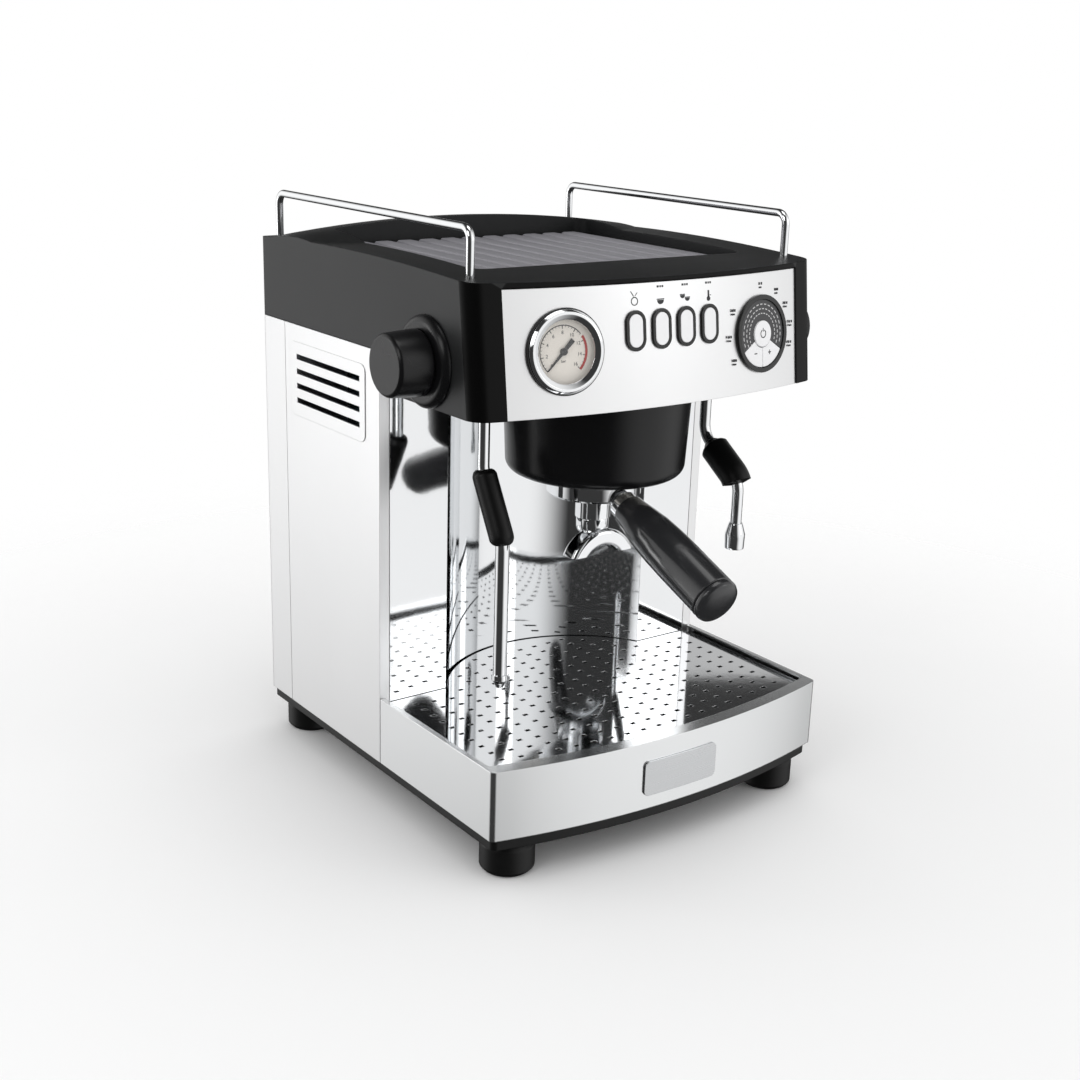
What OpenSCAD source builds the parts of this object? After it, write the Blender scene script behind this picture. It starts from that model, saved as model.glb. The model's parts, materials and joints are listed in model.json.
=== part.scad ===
// Espresso machine with a twin-spout portafilter, a steam wand and a hot water wand.
// Millimetres, +Z up, the front faces -Y, origin on the ground at the middle of the footprint.

/* [Body] */
// Width over the side panels
body_w = 300; // [296:1:304]
// Height of the steel side panels
panel_h = 308; // [304:1:312]
// Depth from the front edge of the side panels to the back
body_d = 177; // [175:1:185]
// Width of the rear cover seen from the side
rear_w = 37; // [32:1:40]
// Thickness of the sheet steel
sheet_t = 1.2; // [0.8:0.1:1.4]
// Height of the black base under the steel
base_h = 9; // [8:0.5:10]
// Height of the feet
foot_h = 25; // [22:1:28]
// Diameter of the feet
foot_d = 39; // [34:1:42]

/* [Head] */
// Height of the fascia, from its lower edge to its upper edge
fascia_h = 82; // [80:1:84]
// Half width of the fascia
fascia_hw = 127.5; // [125:0.5:129]
// How far the middle of the fascia stands in front of the side panels
head_reach = 136; // [134:1:138]
// Backward lean of the fascia, in degrees
lean = 6.95; // [6:0.05:7.5]
// Plan radius of the bowed front
bow_r = 600; // [560:10:700]
// Wall thickness of the black shell
shell_t = 3; // [2.5:0.1:3.2]
// Thickness of the steel fascia plate
fascia_t = 1.2; // [1:0.1:1.4]

/* [Top] */
// Half width of the cup tray
cup_hw = 118; // [114:1:119]
// Front edge of the cup tray, from the middle of the machine
cup_front = -58; // [-62:1:-56]
// Rear edge of the cup tray
cup_back = 136; // [130:1:138]
// Spacing of the cup tray ribs
rib_pitch = 19.5; // [16:0.5:24]
// Diameter of the cup rails
rail_d = 5.6; // [5:0.1:6.5]
// Height of the cup rails' top over the side edge of the shell
rail_h = 32; // [28:1:36]

/* [Controls] */
// Outer diameter of the gauge rim
gauge_d = 56.4; // [54:0.2:58]
// Gauge centre, left of the middle
gauge_x = -85.4; // [-88:0.1:-80]
// Height of the gauge centre over the fascia's lower edge
gauge_s = 42.5; // [40:0.5:43]
// Width of a button bezel
bezel_w = 16; // [15:0.2:17]
// Height of a button bezel
bezel_h = 27; // [25:0.5:29]
// Spacing of the buttons
button_pitch = 21.6; // [20:0.2:23]
// Height of the button centres over the fascia's lower edge
button_s = 52; // [50:0.5:54]
// Outer diameter of the round control dial
dial_d = 54.6; // [52:0.2:56]
// Dial centre, right of the middle
dial_x = 87; // [85:0.5:89]
// Height of the dial centre over the fascia's lower edge
dial_s = 41; // [40:0.5:42]
// Diameter of the side knobs at their outer face
knob_d = 42; // [40:1:44]
// How far the side knobs stand out of the shell
knob_out = 32; // [28:1:34]

/* [Group] */
// Distance from the panels' front edge forward to the group axis
group_reach = 52; // [50:0.5:54]
// Diameter of the group cover at its top
cover_d = 136; // [132:1:138]
// Drop of the group cover below the head
cover_drop = 64; // [62:1:66]
// Outer diameter of the portafilter bowl
bowl_d = 69; // [68:0.5:70]
// Length of the portafilter handle
handle_l = 109; // [104:1:112]
// Diameter of the portafilter handle's end
handle_d = 34; // [32:0.5:35]
// Slope of the handle, in degrees
handle_slope = 22.4; // [21:0.1:24]

/* [Tray] */
// Height of the drip tray's steel front
tray_h = 51; // [49:0.5:52]
// How far the middle of the tray stands in front of the side panels
tray_reach = 165; // [163:1:168]
// Radius of the round recess in the backsplash
recess_r = 107; // [105:0.5:109]
// Spacing of the grid's slots across the machine
slot_pitch_x = 14.2; // [13.5:0.1:15]
// Spacing of the grid's slots along the machine
slot_pitch_y = 12.35; // [12:0.05:13]

/* [Wands] */
// Distance of each wand from the middle
wand_x = 101; // [100:0.5:102]
// Diameter of the upper wand tubes
tube_d = 8.4; // [8:0.1:9]
// Diameter of the steam wand's lower tube
steam_tube_d = 10; // [9:0.1:10.5]
// Height of the steam wand's tip over the ground
steam_tip_z = 113; // [112:1:120]
// Height of the hot water wand's tip over the ground
water_tip_z = 187; // [184:1:190]

/* [Hidden] */
$fn = 96;
eps = 0.01;

// Levels and planes that the parts share
hw = body_w / 2;
panel_y = 10;
back_y = panel_y + body_d;
steel_z = foot_h + base_h;
shell_z = steel_z + panel_h;
head_z = shell_z - 27;
deck_z = shell_z - 4;
rear_y = back_y - rear_w;
rear_corner_r = 5;

// Bowed plans
front_y = panel_y - head_reach;
tray_y = panel_y - tray_reach;
recess_y = panel_y - 53;

// Crown of the top, seen from the side
crown_z = shell_z + 63.8;
crown_y = 39.5;
crown_r = 2230;
crown_steps = 16;
hump_z = shell_z + 74.5;
hump_y = 128;
hump_r = 220;
vault_r = 1070;
rim_gap = 0.4;

// Cup tray recess
ledge_z = shell_z + 54;
ledge_w = 5;
cup_t = 2.5;
rib_h = 1.6;
rib_w = 11;
cup_corner = 10;

// Rails
rail_x = hw - 13;
rail_front = -81;
rail_back = 180;
rail_top = shell_z + 62 + rail_h;
rail_bend = 8;
rail_foot = shell_z + 58;

// Louvres on the side panels
louvre_y = [29, 141];
louvre_z = [steel_z + 239, steel_z + 295];
slot_y = [36.5, 130.5];
louvre_count = 4;
louvre_pitch = 11;
louvre_gap = 4;
louvre_first = steel_z + 251;

// Group axis and its stack, from the cover's lower edge up
group_y = panel_y - group_reach;
cover_z = head_z - cover_drop;
lip_z = cover_z + 1;
ear_z = lip_z + 5;
ear_t = 4.6;
ear_r = 39;
ear_w = 20;
bowl_top = ear_z + ear_t + 0.6;
bowl_z = cover_z - 17;
bowl_r = bowl_d / 2;
unlock_angle = -45;
stem_r = 13;
stem_z = bowl_z - 18;
spout_r = 30.5;
spout_inner = 17.5;
spout_y = group_y - 8;
spout_z = bowl_z - 55.5;
spout_depth = 16;
spout_cut = spout_z + 12;

// Handle axis: where the grip starts
handle_y = group_y - 40;
handle_z = cover_z - 20;
handle_r = handle_d / 2;
cap_l = 7;
neck_l = 10;

// Controls
gauge_r = gauge_d / 2;
dial_r = dial_d / 2;
hub_r = 9.2;
face_gap = 0.3;
wedge_from = 210;
wedge_to = 330;
button_x = [for (i = [0:3]) 1 + (i - 1.5) * button_pitch];
needle_rest = 225;

// Knobs and valves
knob_y = panel_y - 61;
knob_z = shell_z + 3;
knob_r = knob_d / 2;
spindle_r = 4;
wand_y = panel_y - 57;

// Wand routes, from the socket down
ball_z = head_z - 9;
ball_r = 6.5;
elbow = 1.04;
steam_low_y = panel_y - 82;
water_low_y = panel_y - 98;
steam_pts = [[-wand_x, wand_y, ball_z], [-wand_x, wand_y, 264],
    [-wand_x, steam_low_y, 220], [-wand_x, steam_low_y, steam_tip_z + 10]];
water_pts = [[wand_x, wand_y, ball_z], [wand_x, wand_y, 267],
    [wand_x, water_low_y, 239], [wand_x, water_low_y, water_tip_z + 20]];

// Water side, inside the body
pump_y = 100;
pump_z = 62;
pump_r = 20;
port_r = 9;
pipe_r = 3;
riser_x = -35;
duct_y = 40;
deck_pipe_z = 324;
head_pipe_z = 352;
tank_w = 160;
tank_y = 136;
tank_d = 44;
tank_wall = 2.5;
tank_base = 18;
intake_x = -94;
intake_y = 158;
boiler_y = 101;
boiler_z = 160;
boiler_r = 27;
boiler_h = 150;
boiler_wall = 3;

// Mains inlet on the rear cover
inlet_x = -110;
inlet_z = steel_z + 26;

// Badge plate on the tray front
badge_w = 66;
badge_h = 26;
badge_x = -1;
badge_z = steel_z + 10.5;

// ---------- Shared shapes ----------

// Plan with a bowed front of radius r at y_front, sides at half width w and front corners of radius c
module bow_plan(w, r, y_front, c, y_back) {
    y_disc = y_front + r;
    corner_x = w - c;
    corner_y = y_disc - sqrt(pow(r - c, 2) - pow(corner_x, 2));
    touch_x = corner_x * r / (r - c);
    intersection() {
        translate([0, y_disc]) circle(r, $fn = 360);
        translate([-touch_x, y_front - 1]) square([2 * touch_x, y_back - y_front + 1]);
    }
    translate([-w, corner_y]) square([2 * w, y_back - corner_y]);
    for (side = [-1, 1]) translate([side * corner_x, corner_y]) circle(c, $fn = 48);
}

module rounded_rect(size, c) {
    translate([c, 0]) square([size.x - 2 * c, size.y]);
    translate([0, c]) square([size.x, size.y - 2 * c]);
    for (x = [c, size.x - c], y = [c, size.y - c]) translate([x, y]) circle(c, $fn = 32);
}

module stadium(w, h) {
    translate([-w / 2, -(h - w) / 2]) square([w, h - w]);
    for (s = [-1, 1]) translate([0, s * (h - w) / 2]) circle(w / 2, $fn = 48);
}

module cyl_x(r, x0, x1) {
    translate([x0, 0, 0]) rotate([0, 90, 0]) cylinder(r = r, h = x1 - x0);
}

// A straight round bar between two points that share their x
module bar(a, b, r) {
    d = b - a;
    translate(a) rotate([atan2(-d.y, d.z), 0, 0]) cylinder(r = r, h = norm(d));
}

// Bars through a list of points, with balls at the bends
module bent_bar(pts, r) {
    for (i = [0:len(pts) - 2]) bar(pts[i], pts[i + 1], r);
    for (i = [1:len(pts) - 2]) translate(pts[i]) sphere(r * elbow);
}

// Ring sector in the plane, from angle a to angle b, less than 180 degrees
module sector(r, a, b) {
    reach = r / cos((b - a) / 4);
    intersection() {
        circle(r);
        polygon([[0, 0], reach * [cos(a), sin(a)],
            reach * [cos((a + b) / 2), sin((a + b) / 2)] * 1.2, reach * [cos(b), sin(b)]]);
    }
}

// Leans its children back about the fascia's lower edge
module leaning() {
    translate([0, front_y, head_z]) rotate([-lean, 0, 0]) translate([0, -front_y, 0]) children();
}

// Places its children on the leaning, bowed fascia with +Z out of it and +Y up along it
module on_fascia(x, s) {
    phi = asin(x / bow_r);
    leaning() translate([x, front_y + bow_r * (1 - cos(phi)), s]) rotate([0, 0, phi]) rotate([90, 0, 0])
        children();
}

// Slab of the given half width under the crowned top, from y0 to y1 and down to z0
module crown_slab(inset, w, y0, y1, z0) {
    top = [for (i = [0:crown_steps]) let (y = y1 + (y0 - y1) * i / crown_steps)
        [y, crown_z - inset - crown_r + sqrt(pow(crown_r, 2) - pow(y - crown_y, 2))]];
    translate([-w, 0, 0]) rotate([90, 0, 90]) linear_extrude(2 * w) polygon(concat(top, [[y0, z0], [y1, z0]]));
}

// Vaulted rise of the top behind the cup tray
module rear_hump() {
    rise = [for (i = [0:crown_steps]) let (y = 50 + (back_y + 1 - 50) * i / crown_steps)
        [vault_r - hump_r + sqrt(pow(hump_r, 2) - pow(y - hump_y, 2)), y]];
    translate([0, 0, hump_z - vault_r]) rotate([-90, 0, 0]) rotate([0, 0, 260])
        rotate_extrude(angle = 20, $fn = 720)
            polygon(concat(rise, [[vault_r - 30, back_y + 1], [vault_r - 30, 50]]));
}

// Leaning block with the bowed front at the given distance behind the fascia's plane
module head_block(w, back_off) {
    leaning() translate([0, 0, -20]) linear_extrude(160) bow_plan(w, bow_r, front_y + back_off, 14, 300);
}

// ---------- Base and body ----------

module base_pan() {
    wall = 3;
    inset = 3;
    color("#141414") {
        translate([0, 0, foot_h]) difference() {
            linear_extrude(base_h - rim_gap)
                bow_plan(hw - inset, bow_r, tray_y + inset, 5, back_y - inset);
            translate([0, 0, -eps]) linear_extrude(base_h - wall)
                bow_plan(hw - inset - wall, bow_r, tray_y + inset + wall, 3, back_y - inset - wall);
            for (x = [-70:20:70]) translate([x - 2, 60, 0]) cube([4, 70, base_h + 1]);
        }
        foot_places() translate([0, 0, foot_h]) cylinder(d = foot_d - 8, h = base_h - wall);
    }
}

module foot_places() {
    for (x = [-1, 1], y = [-117, 168]) translate([x * (hw - 27), y, 0]) children();
}

module feet() {
    r = foot_d / 2;
    color("#0d0d0d") foot_places() rotate_extrude()
        polygon([[0, 0], [r - 3, 0], [r, 3], [r, foot_h - 5], [r - 3, foot_h], [0, foot_h]]);
}

module chassis() {
    t = 2;
    post_w = 20;
    in = hw - 4;
    color("#9a9c9e") difference() {
        union() {
            translate([-in, panel_y + 4, steel_z]) cube([2 * in, body_d - 8, t]);
            for (x = [-in, in - t], y = [panel_y + 4, back_y - 4 - post_w])
                translate([x, y, steel_z]) cube([t, post_w, deck_z - steel_z + t]);
            for (x = [-in, in - post_w], y = [panel_y + 4, back_y - 4 - t])
                translate([x, y, steel_z]) cube([post_w, t, deck_z - steel_z + t]);
            translate([-in, panel_y + 4, deck_z]) cube([2 * in, body_d - 8, t]);
            translate([-in + 2, panel_y + 4, head_z + 4]) cube([2 * in - 4, t, deck_z - head_z - 4 + eps]);
            translate([-in + 2, -92, head_z + 4]) cube([2 * in - 4, panel_y + 96 + t, t]);
        }
        translate([0, recess_y, 0]) cylinder(r = recess_r + 4, h = head_z);
        translate([0, group_y, head_z - 1]) cylinder(r = 42, h = 20);
        translate([0, boiler_y - 1, deck_z - 1]) cylinder(r = boiler_r + 1, h = 10);
        translate([riser_x, duct_y, deck_z - 1]) cylinder(r = pipe_r + 2, h = 10);
        translate([-tank_w / 2 - 2, tank_y - 2, deck_z - 1]) cube([tank_w + 4, tank_d + 4, 10]);
        for (s = [-1, 1]) translate([s * wand_x, wand_y, head_z]) cylinder(r = 7, h = 20);
    }
}

module side_panel() {
    translate([hw - sheet_t, panel_y, steel_z]) cube([sheet_t, rear_y - panel_y - rim_gap, panel_h - rim_gap]);
    translate([hw - 8, panel_y, steel_z]) cube([8, sheet_t, head_z - steel_z - rim_gap]);
    translate([hw - eps, louvre_y[0], louvre_z[0]]) rotate([90, 0, 90]) linear_extrude(0.5 + eps)
        rounded_rect([louvre_y[1] - louvre_y[0], louvre_z[1] - louvre_z[0]], 6);
}

module slotted_side_panel() {
    difference() {
        side_panel();
        for (i = [0:louvre_count - 1])
            translate([hw - 5, slot_y[0], louvre_first + i * louvre_pitch - louvre_gap / 2])
                cube([10, slot_y[1] - slot_y[0], louvre_gap]);
    }
}

module side_panel_left() {
    color("#d8d9db") mirror([1, 0, 0]) slotted_side_panel();
}

module side_panel_right() {
    color("#d8d9db") slotted_side_panel();
}

module rear_outline(inset) {
    r = rear_corner_r - inset;
    w = hw - inset;
    translate([-w, rear_y]) square([2 * w, rear_w - rear_corner_r]);
    translate([-w + r, rear_y]) square([2 * w - 2 * r, rear_w - inset]);
    for (s = [-1, 1]) translate([s * (w - r), back_y - inset - r]) circle(r, $fn = 48);
}

module rear_cover() {
    color("#d8d9db") difference() {
        translate([0, 0, steel_z]) linear_extrude(panel_h - rim_gap) difference() {
            rear_outline(0);
            rear_outline(sheet_t);
        }
        translate([-hw + 3, rear_y - 1, 0]) cube([body_w - 6, rear_w - 14, 400]);
        for (x = [-60:15:60]) translate([x - 2.5, back_y - 5, steel_z + 205]) cube([5, 10, 60]);
        translate([inlet_x, back_y - 5, inlet_z]) cube([30, 10, 24]);
        screw_places() cylinder(r = 2.1, h = 10, center = true);
    }
}

module screw_places() {
    for (x = [-128, 128], z = [steel_z + 24, steel_z + 154, steel_z + 284])
        translate([x, back_y, z]) rotate([-90, 0, 0]) children();
}

module case_screws() {
    color("#c4c6c8") screw_places() difference() {
        union() {
            cylinder(r = 3.6, h = 2);
            translate([0, 0, -3.2]) cylinder(r = 1.9, h = 4);
        }
        translate([-3, -0.5, 1.2]) cube([6, 1, 2]);
    }
}

module power_inlet() {
    color("#101010") translate([inlet_x, back_y, inlet_z]) difference() {
        union() {
            translate([-6, 0, -3]) cube([42, 2.2, 30]);
            translate([0.4, -26, 0.4]) cube([29.2, 26 + eps, 23.2]);
        }
        translate([3, -18, 3]) cube([24, 30, 18]);
    }
    color("#b9a36a") for (x = [-7, 0, 7])
        translate([inlet_x + 15 + x - 1, back_y - 18 - eps, inlet_z + 9 + (x == 0 ? 3 : 0)]) cube([2, 14, 4]);
}

module backsplash() {
    t = sheet_t;
    color("#e6e8ea") translate([0, 0, steel_z]) linear_extrude(head_z - steel_z - rim_gap) difference() {
        union() {
            translate([-hw + 8.4, panel_y]) square([body_w - 16.8, t]);
            intersection() {
                translate([0, recess_y]) circle(recess_r + t, $fn = 180);
                translate([-hw, panel_y]) square([body_w, recess_r]);
            }
        }
        translate([0, recess_y]) circle(recess_r, $fn = 180);
    }
}

// ---------- Top shell ----------

module shell_solid() {
    difference() {
        intersection() {
            union() {
                crown_slab(0, hw, front_y - 20, back_y, head_z);
                rear_hump();
            }
            head_block(hw, -1);
            translate([-hw - 1, front_y - 21, head_z - 1]) cube([body_w + 2, back_y - front_y + 21, 120]);
        }
        translate([-hw - 1, panel_y - rim_gap, head_z - 1]) cube([body_w + 2, body_d + 2, shell_z - head_z + 1]);
        for (s = [-1, 1]) translate([s * (hw - rear_corner_r), back_y - rear_corner_r, shell_z - 1])
            difference() {
                translate([s > 0 ? 0 : -10, 0, 0]) cube([10, 10, 100]);
                translate([0, 0, -1]) cylinder(r = rear_corner_r, h = 102, $fn = 48);
            }
    }
}

module shell_hollow() {
    intersection() {
        crown_slab(shell_t, hw - shell_t, front_y - 20, back_y - shell_t, head_z + shell_t);
        head_block(hw - shell_t + 1, shell_t + 1);
    }
}

module top_shell() {
    cup_size = [2 * cup_hw, cup_back - cup_front];
    color("#262828") difference() {
        union() {
            difference() {
                shell_solid();
                shell_hollow();
            }
            crown_slab(1, cup_hw + 3, cup_front - 3, cup_back + 3, ledge_z - 3);
            translate([0, recess_y, head_z]) intersection() {
                cylinder(r = recess_r + 2, h = shell_t, $fn = 180);
                translate([-hw, panel_y - recess_y - 2, -1]) cube([body_w, recess_r, 10]);
            }
        }
        translate([-cup_hw, cup_front, ledge_z]) linear_extrude(60) rounded_rect(cup_size, cup_corner);
        translate([-cup_hw + ledge_w, cup_front + ledge_w, ledge_z - 20])
            cube([cup_size.x - 2 * ledge_w, cup_size.y - 2 * ledge_w, 60]);
        fascia_pocket();
        translate([0, group_y, head_z - 1]) cylinder(r = 47, h = 10);
        for (s = [-1, 1]) {
            translate([s * wand_x, wand_y, head_z - 1]) cylinder(r = 7, h = 10);
            translate([0, knob_y, knob_z]) cyl_x(6, s > 0 ? hw - 8 : -hw - 8, s > 0 ? hw + 8 : -hw + 8);
            for (y = [rail_front, rail_back])
                translate([s * rail_x, y, rail_foot]) cylinder(d = rail_d + 0.1, h = 30);
        }
    }
}

// Shallow seat for the fascia, and the windows behind it for the controls
module fascia_pocket() {
    intersection() {
        leaning() difference() {
            translate([0, front_y + bow_r, -10]) cylinder(r = bow_r + 20, h = 120, $fn = 720);
            translate([0, front_y + bow_r, -11]) cylinder(r = bow_r - fascia_t - 0.2, h = 122, $fn = 720);
        }
        translate([-fascia_hw - 0.4, front_y - 30, head_z - 5]) cube([2 * fascia_hw + 0.8, 60, fascia_h + 5.6]);
    }
    on_fascia(gauge_x, gauge_s) translate([0, 0, -12]) cylinder(r = gauge_r - 1.2, h = 20);
    on_fascia(dial_x, dial_s) translate([0, 0, -12]) cylinder(r = dial_r - 1.2, h = 20);
    on_fascia(1, button_s) translate([-45, -14, -12]) cube([90, 28, 20]);
}

module cup_tray() {
    w = cup_hw - 0.7;
    l = cup_back - cup_front - 1.4;
    color("#9b9ba0") difference() {
        translate([-w, cup_front + 0.7, ledge_z + 0.2]) {
            linear_extrude(cup_t) rounded_rect([2 * w, l], cup_corner - 0.7);
            for (x = [-5:5]) translate([w + x * rib_pitch - rib_w / 2, 8, cup_t - eps])
                cube([rib_w, l - 16, rib_h]);
        }
        for (x = [-5.5:5.5], y = [cup_front + 24, cup_front + 112])
            translate([x * rib_pitch - 2, y, ledge_z - 5]) cube([4, 60, 20]);
    }
}

module cup_rail() {
    r = rail_d / 2;
    translate([rail_x, 0, 0]) {
        for (y = [rail_front, rail_back])
            translate([0, y, rail_foot + 0.2]) cylinder(r = r, h = rail_top - r - rail_bend - rail_foot - 0.2);
        for (e = [[rail_front, 180], [rail_back, 90]])
            translate([0, e[0] + (e[1] == 180 ? rail_bend : -rail_bend), rail_top - r - rail_bend])
                rotate([90, 0, 90]) rotate([0, 0, e[1] - 90])
                    rotate_extrude(angle = 90) translate([rail_bend, 0]) circle(r, $fn = 32);
        translate([0, rail_front + rail_bend, rail_top - r]) rotate([-90, 0, 0])
            cylinder(r = r, h = rail_back - rail_front - 2 * rail_bend);
    }
}

module cup_rail_left() {
    color("silver") mirror([1, 0, 0]) cup_rail();
}

module cup_rail_right() {
    color("silver") cup_rail();
}

// ---------- Fascia and controls ----------

module fascia() {
    color("#dcdee0") difference() {
        intersection() {
            leaning() difference() {
                translate([0, front_y + bow_r, -10]) cylinder(r = bow_r, h = 110, $fn = 720);
                translate([0, front_y + bow_r, -11]) cylinder(r = bow_r - fascia_t, h = 112, $fn = 720);
            }
            translate([-fascia_hw, front_y - 20, head_z]) cube([2 * fascia_hw, 60, fascia_h]);
        }
        on_fascia(gauge_x, gauge_s) translate([0, 0, -5]) cylinder(r = gauge_r - 1.8, h = 10);
        on_fascia(dial_x, dial_s) translate([0, 0, -5]) cylinder(r = dial_r - 1.8, h = 10);
        for (x = button_x) on_fascia(x, button_s) translate([0, 0, -5])
            linear_extrude(10) stadium(bezel_w - 1.4, bezel_h - 1.4);
    }
}

module gauge_can() {
    r = gauge_r - 2;
    color("#0c0c0c") on_fascia(gauge_x, gauge_s) difference() {
        union() {
            translate([0, 0, 0.1]) cylinder(r = gauge_r, h = 1.6);
            translate([0, 0, -26]) cylinder(r = r, h = 27);
            translate([0, 0, -34]) cylinder(r = 5, h = 9);
        }
        translate([0, 0, -24.5]) cylinder(r = r - 1.2, h = 40);
    }
}

module gauge_bezel() {
    r = gauge_r - 1;
    color("silver") on_fascia(gauge_x, gauge_s) rotate_extrude()
        polygon([[r, 1.75], [r, 2.6], [r - 1.6, 4.4], [r - 3.2, 4.6], [gauge_r * 0.73, 2.6], [gauge_r * 0.73, 1.75]]);
}

module gauge_dial() {
    color("#e9e2d8") on_fascia(gauge_x, gauge_s) difference() {
        translate([0, 0, -4]) cylinder(r = gauge_r - 3.3, h = 1.2);
        translate([0, 0, -5]) cylinder(r = 1.1, h = 5);
    }
}

module gauge_needle() {
    color("#151515") on_fascia(gauge_x, gauge_s) {
        translate([0, 0, -2.5]) cylinder(r = 2.4, h = 1.6);
        translate([0, 0, -9]) cylinder(r = 1, h = 7);
        translate([0, 0, -2.2]) rotate([0, 0, needle_rest]) linear_extrude(0.7)
            polygon([[-10, -1.6], [0, -1.1], [17, -0.25], [17, 0.25], [0, 1.1], [-10, 1.6]]);
    }
}

module gauge_glass() {
    color("white", 0.35) on_fascia(gauge_x, gauge_s)
        translate([0, 0, 0.2]) cylinder(r = gauge_r - 3.4, h = 1.4);
}

module button_bezels() {
    color("#171717") for (x = button_x) on_fascia(x, button_s) difference() {
        union() {
            translate([0, 0, 0.1]) linear_extrude(1.5) stadium(bezel_w, bezel_h);
            translate([0, 0, -4]) linear_extrude(4.2) stadium(bezel_w - 1.8, bezel_h - 1.8);
        }
        translate([0, 0, -10]) linear_extrude(20) stadium(bezel_w - 4.4, bezel_h - 4.4);
    }
}

module push_button(i) {
    color("#eceef0") on_fascia(button_x[i], button_s) translate([0, 0, -5]) {
        linear_extrude(6.6) stadium(bezel_w - 5, bezel_h - 5);
        linear_extrude(1) stadium(bezel_w - 2, bezel_h - 2);
    }
}

module power_button() { push_button(0); }
module one_cup_button() { push_button(1); }
module two_cup_button() { push_button(2); }
module steam_button() { push_button(3); }

module dial_bezel() {
    color("#101010") on_fascia(dial_x, dial_s) difference() {
        union() {
            translate([0, 0, 0.1]) cylinder(r = dial_r, h = 1.9);
            translate([0, 0, -8]) cylinder(r = dial_r - 2, h = 9);
        }
        translate([0, 0, -6]) cylinder(r = dial_r - 3.4, h = 20);
        cylinder(r = 3, h = 40, center = true);
    }
}

module dial_ring() {
    r = dial_r - 3.5;
    color("#3b3b3d") on_fascia(dial_x, dial_s) difference() {
        translate([0, 0, -5.9]) cylinder(r = r, h = 6.9);
        translate([0, 0, -7]) cylinder(r = hub_r + face_gap, h = 12);
        translate([0, 0, -7]) linear_extrude(12) sector(r + 2, wedge_from, 270.01);
        translate([0, 0, -7]) linear_extrude(12) sector(r + 2, 269.99, wedge_to);
    }
}

module dial_centre_button() {
    color("#eceef0") on_fascia(dial_x, dial_s) translate([0, 0, -4.6]) cylinder(r = hub_r, h = 6.6);
}

module wedge_button(a, b) {
    r = dial_r - 3.5 - face_gap;
    color("#eceef0") on_fascia(dial_x, dial_s) translate([0, 0, -4.6]) linear_extrude(5.9) difference() {
        sector(r, a, b);
        circle(hub_r + 2 * face_gap);
    }
}

module dial_minus_button() { wedge_button(wedge_from + 1, 269.2); }
module dial_plus_button() { wedge_button(270.8, wedge_to - 1); }

module panel_board() {
    color("#1d5a35") on_fascia(1, button_s) difference() {
        translate([-44, -19, -12.6]) cube([88, 38, 1.6]);
        for (x = [-40, 40], y = [-16, 16]) translate([x, y, -20]) cylinder(r = 1.6, h = 20);
    }
    color("#222222") for (x = button_x) on_fascia(x, button_s) translate([-3, -3, -11 - eps]) cube([6, 6, 4]);
}

// ---------- Group ----------

module group_cover() {
    r = cover_d / 2;
    wall = 3;
    hole_r = 50;
    edge_r = 9;
    taper = 2.6;
    h = cover_drop - 0.4;
    edge_x = r - taper - edge_r;
    color("#151516") translate([0, group_y, cover_z]) rotate_extrude($fn = 180) difference() {
        union() {
            polygon([[hole_r, 0], [edge_x, 0], [r - taper, edge_r], [r, h], [hole_r, h]]);
            intersection() {
                translate([edge_x, edge_r]) circle(edge_r, $fn = 64);
                translate([hole_r, 0]) square([r, 2 * edge_r]);
            }
        }
        polygon([[hole_r - 1, wall], [edge_x, wall], [r - taper - wall, edge_r + 1], [r - wall, h - wall],
            [r - wall, h + 1], [hole_r - 1, h + 1]]);
    }
}

module group_head() {
    seal = bowl_top + 6;
    color("#c9c4b8") translate([0, group_y, 0]) difference() {
        union() {
            translate([0, 0, lip_z]) cylinder(r = 48, h = seal + 16 - lip_z);
            translate([0, 0, seal + 15]) cylinder(r = 36, h = head_z + 4 - seal - 15);
        }
        translate([0, 0, lip_z - 1]) cylinder(r = bowl_r + 0.7, h = seal - lip_z + 1);
        translate([0, 0, lip_z + 5 - 0.4]) cylinder(r = ear_r + 0.7, h = seal - lip_z - 4.6);
        rotate([0, 0, unlock_angle]) translate([-ear_r - 0.7, -ear_w / 2 - 1, lip_z - 1])
            cube([2 * ear_r + 1.4, ear_w + 2, 8]);
        translate([0, 0, seal - 1]) cylinder(r = 5, h = 100);
    }
}

module group_gasket() {
    color("#3a2420") translate([0, group_y, bowl_top + 1.4]) difference() {
        cylinder(r = 36.5, h = 4.5);
        translate([0, 0, -1]) cylinder(r = 29.5, h = 8);
    }
}

module shower_screen() {
    color("silver") translate([0, group_y, bowl_top + 0.6]) difference() {
        union() {
            cylinder(r = 28.4, h = 1);
            translate([0, 0, 1 - eps]) cylinder(r = 5.5, h = 4.3);
        }
        for (ring = [1:3], i = [0:6 * ring - 1]) rotate([0, 0, 60 / ring * i])
            translate([8 * ring, 0, -1]) cylinder(r = 1, h = 4, $fn = 16);
    }
}

module brew_boiler() {
    color("#b9bbbd") translate([0, group_y, head_z + 6.2]) {
        difference() {
            union() {
                cylinder(r = 46, h = 4);
                cylinder(r = 40, h = 44);
                translate([0, 0, 43]) cylinder(r = 30, h = 6);
            }
            translate([0, 0, 3]) cylinder(r = 36, h = 38);
            translate([0, 0, -1]) cylinder(r = 5, h = 5);
        }
    }
    color("#8a3b2a") for (s = [-1, 1]) translate([s * 15, group_y, head_z + 55.2 - eps]) cylinder(r = 4, h = 9);
}

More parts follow.
